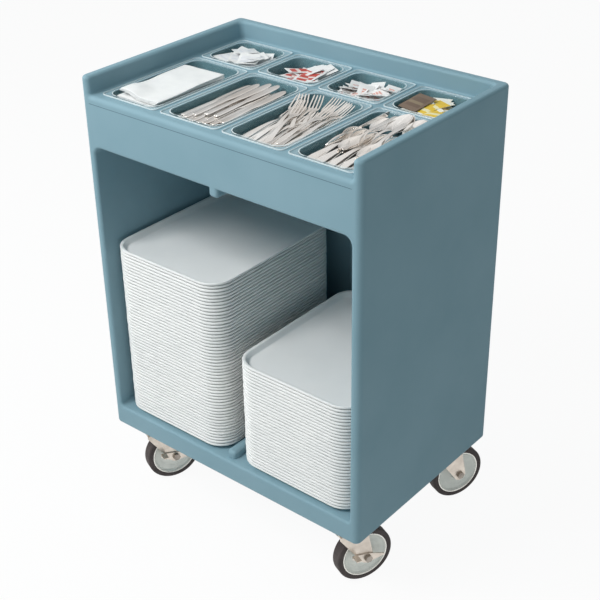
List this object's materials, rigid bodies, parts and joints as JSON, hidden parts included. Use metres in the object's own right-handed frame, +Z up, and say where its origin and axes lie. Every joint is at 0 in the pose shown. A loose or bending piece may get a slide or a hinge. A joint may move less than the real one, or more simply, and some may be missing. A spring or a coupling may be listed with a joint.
{
  "type": "cutlery cart",
  "caption": "Moulded plastic cutlery and tray cart on swivel casters, with lift-out pans in a rimmed top and open bays for stacked trays.",
  "frame": {"origin": "on the floor, under the middle of the whole object's box", "axes": "+X to the user's right, +Y to the back, +Z up; the bays open towards -Y"},
  "size_m": [0.82, 0.5976, 1.178],
  "materials": {
    "body_plastic": "slate-blue moulded polyethylene, satin, finely grained",
    "pan_clear": "clear moulded pan, glossy",
    "napkin_paper": "folded white paper napkins",
    "cutlery_steel": "polished stainless cutlery",
    "packets_white_paper": "plain white paper packets",
    "packets_long_paper": "white paper packets with plain red bars",
    "packets_small_paper": "small white paper packets with plain red specks",
    "packets_yellow_paper": "yellow and white paper packets",
    "tray_plastic": "off-white moulded tray",
    "fastener_steel": "plated steel fasteners",
    "caster_steel": "plated pressed steel, warm grey",
    "hub_plastic": "light grey wheel disc",
    "tyre_rubber": "dark brown-grey rubber tread"
  },
  "bodies": {
    "cart": {"cart_body": "body_plastic", "caster_bolts": "fastener_steel", "front_left_plate": "caster_steel", "front_left_race": "caster_steel", "front_left_kingpin": "fastener_steel", "front_right_plate": "caster_steel", "front_right_race": "caster_steel", "front_right_kingpin": "fastener_steel", "back_left_plate": "caster_steel", "back_left_race": "caster_steel", "back_left_kingpin": "fastener_steel", "back_right_plate": "caster_steel", "back_right_race": "caster_steel", "back_right_kingpin": "fastener_steel"},
    "long_pan_1_set": {"long_pan_1": "pan_clear", "napkins": "napkin_paper"},
    "short_pan_1_set": {"short_pan_1": "pan_clear", "packets_white": "packets_white_paper"},
    "long_pan_2_set": {"long_pan_2": "pan_clear", "knives": "cutlery_steel"},
    "short_pan_2_set": {"short_pan_2": "pan_clear", "packets_long": "packets_long_paper"},
    "long_pan_3_set": {"long_pan_3": "pan_clear", "forks": "cutlery_steel"},
    "short_pan_3_set": {"short_pan_3": "pan_clear", "packets_small": "packets_small_paper"},
    "long_pan_4_set": {"long_pan_4": "pan_clear", "spoons": "cutlery_steel"},
    "short_pan_4_set": {"short_pan_4": "pan_clear", "packets_yellow": "packets_yellow_paper"},
    "tray_stack_left": {"nested_trays_left": "tray_plastic", "top_tray_left": "tray_plastic"},
    "tray_stack_right": {"nested_trays_right": "tray_plastic", "top_tray_right": "tray_plastic"},
    "front_left_swivel": {"front_left_fork": "caster_steel", "front_left_axle": "fastener_steel", "front_left_bush": "caster_steel"},
    "front_left_wheel": {"front_left_hub": "hub_plastic", "front_left_tyre": "tyre_rubber"},
    "front_left_brake_lever": {"front_left_brake": "caster_steel"},
    "front_right_swivel": {"front_right_fork": "caster_steel", "front_right_axle": "fastener_steel", "front_right_bush": "caster_steel"},
    "front_right_wheel": {"front_right_hub": "hub_plastic", "front_right_tyre": "tyre_rubber"},
    "front_right_brake_lever": {"front_right_brake": "caster_steel"},
    "back_left_swivel": {"back_left_fork": "caster_steel", "back_left_axle": "fastener_steel", "back_left_bush": "caster_steel"},
    "back_left_wheel": {"back_left_hub": "hub_plastic", "back_left_tyre": "tyre_rubber"},
    "back_right_swivel": {"back_right_fork": "caster_steel", "back_right_axle": "fastener_steel", "back_right_bush": "caster_steel"},
    "back_right_wheel": {"back_right_hub": "hub_plastic", "back_right_tyre": "tyre_rubber"}
  },
  "joints": [
    {"name": "long_pan_1_lift", "type": "slide", "parent": "cart", "child": "long_pan_1_set", "axis": [0, 0, 1], "range_m": [0, 0.12]},
    {"name": "long_pan_2_lift", "type": "slide", "parent": "cart", "child": "long_pan_2_set", "axis": [0, 0, 1], "range_m": [0, 0.12]},
    {"name": "long_pan_3_lift", "type": "slide", "parent": "cart", "child": "long_pan_3_set", "axis": [0, 0, 1], "range_m": [0, 0.12]},
    {"name": "long_pan_4_lift", "type": "slide", "parent": "cart", "child": "long_pan_4_set", "axis": [0, 0, 1], "range_m": [0, 0.12]},
    {"name": "short_pan_1_lift", "type": "slide", "parent": "cart", "child": "short_pan_1_set", "axis": [0, 0, 1], "range_m": [0, 0.12]},
    {"name": "short_pan_2_lift", "type": "slide", "parent": "cart", "child": "short_pan_2_set", "axis": [0, 0, 1], "range_m": [0, 0.12]},
    {"name": "short_pan_3_lift", "type": "slide", "parent": "cart", "child": "short_pan_3_set", "axis": [0, 0, 1], "range_m": [0, 0.12]},
    {"name": "short_pan_4_lift", "type": "slide", "parent": "cart", "child": "short_pan_4_set", "axis": [0, 0, 1], "range_m": [0, 0.12]},
    {"name": "tray_stack_left_slide", "type": "slide", "parent": "cart", "child": "tray_stack_left", "axis": [0, -1, 0], "range_m": [0, 0.48]},
    {"name": "tray_stack_right_slide", "type": "slide", "parent": "cart", "child": "tray_stack_right", "axis": [0, -1, 0], "range_m": [0, 0.48]},
    {"name": "front_left_swivel_turn", "type": "hinge", "parent": "cart", "child": "front_left_swivel", "pos_m": [-0.33, -0.22682, 0.19], "axis": [0, 0, 1], "continuous": true},
    {"name": "front_left_wheel_spin", "type": "hinge", "parent": "front_left_swivel", "child": "front_left_wheel", "pos_m": [-0.31515, -0.19184, 0.076], "axis": [0.9205, -0.3907, 0], "continuous": true},
    {"name": "front_left_brake_press", "type": "hinge", "parent": "front_left_swivel", "child": "front_left_brake_lever", "pos_m": [-0.31515, -0.19184, 0.076], "axis": [0.9205, -0.3907, 0], "range_deg": [0, 25]},
    {"name": "front_right_swivel_turn", "type": "hinge", "parent": "cart", "child": "front_right_swivel", "pos_m": [0.33, -0.22682, 0.19], "axis": [0, 0, 1], "continuous": true},
    {"name": "front_right_wheel_spin", "type": "hinge", "parent": "front_right_swivel", "child": "front_right_wheel", "pos_m": [0.34485, -0.19184, 0.076], "axis": [0.9205, -0.3907, 0], "continuous": true},
    {"name": "front_right_brake_press", "type": "hinge", "parent": "front_right_swivel", "child": "front_right_brake_lever", "pos_m": [0.34485, -0.19184, 0.076], "axis": [0.9205, -0.3907, 0], "range_deg": [0, 25]},
    {"name": "back_left_swivel_turn", "type": "hinge", "parent": "cart", "child": "back_left_swivel", "pos_m": [-0.33, 0.18918, 0.19], "axis": [0, 0, 1], "continuous": true},
    {"name": "back_left_wheel_spin", "type": "hinge", "parent": "back_left_swivel", "child": "back_left_wheel", "pos_m": [-0.31515, 0.22416, 0.076], "axis": [0.9205, -0.3907, 0], "continuous": true},
    {"name": "back_right_swivel_turn", "type": "hinge", "parent": "cart", "child": "back_right_swivel", "pos_m": [0.33, 0.18918, 0.19], "axis": [0, 0, 1], "continuous": true},
    {"name": "back_right_wheel_spin", "type": "hinge", "parent": "back_right_swivel", "child": "back_right_wheel", "pos_m": [0.34485, 0.22416, 0.076], "axis": [0.9205, -0.3907, 0], "continuous": true}
  ]
}
